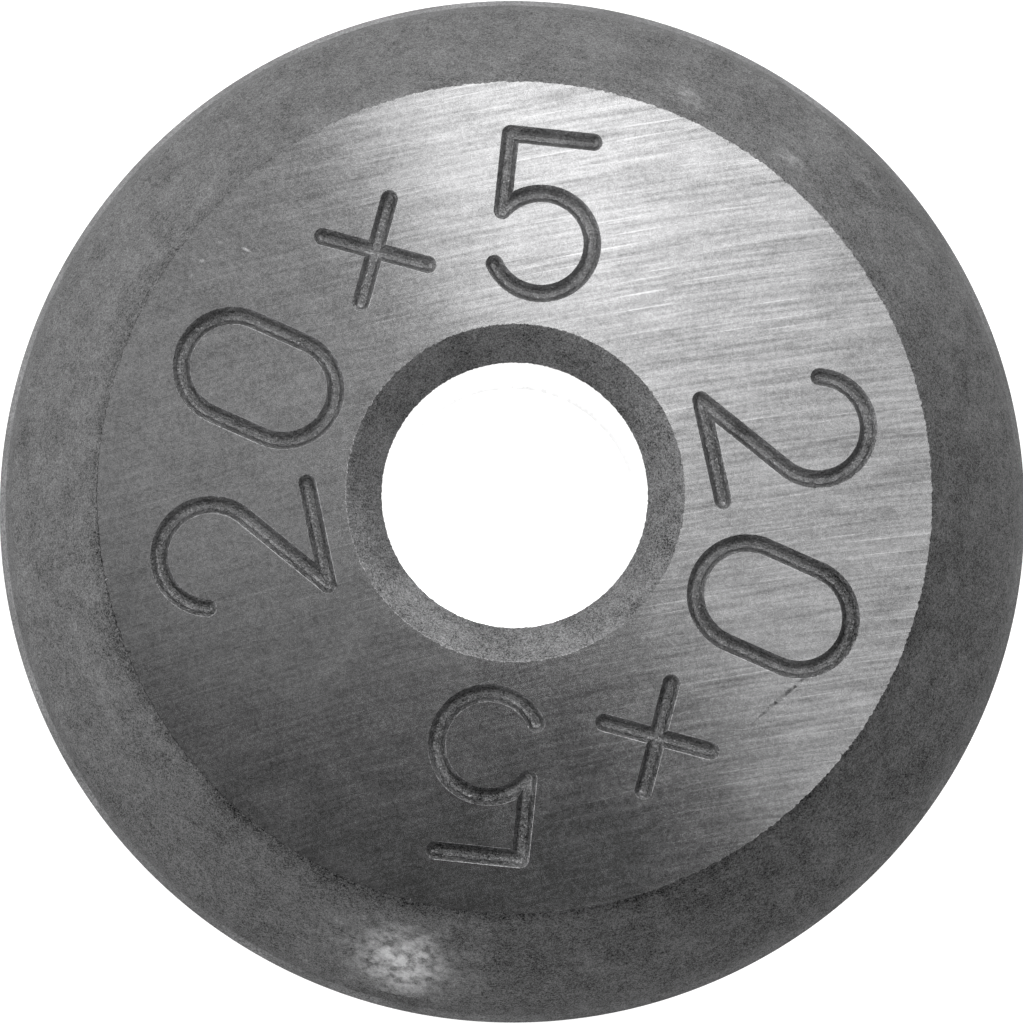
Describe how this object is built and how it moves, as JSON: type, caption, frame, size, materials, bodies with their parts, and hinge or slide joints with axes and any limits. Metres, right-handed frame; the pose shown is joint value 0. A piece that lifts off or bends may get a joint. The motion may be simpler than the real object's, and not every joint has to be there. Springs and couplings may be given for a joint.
{
  "type": "tile cutter wheel",
  "caption": "Round carbide scoring wheel with a chamfered centre bore, a bevelled cutting edge and a size mark engraved in one flat face.",
  "frame": {"origin": "the wheel's centre: on the bore's axis and in the middle plane, which holds the cutting edge", "axes": "+Z along the bore's axis, out of the engraved face; +Y towards the top of the wheel as pictured, between the 5 of one size mark and the gap after it; +X to its right"},
  "size_m": [0.02, 0.02, 0.005],
  "materials": {
    "carbide": "ground sintered tungsten carbide, matt on the bevels, with fine straight grinding lines across the flat faces"
  },
  "bodies": {
    "root": {"cutter_wheel": "carbide"}
  },
  "joints": []
}
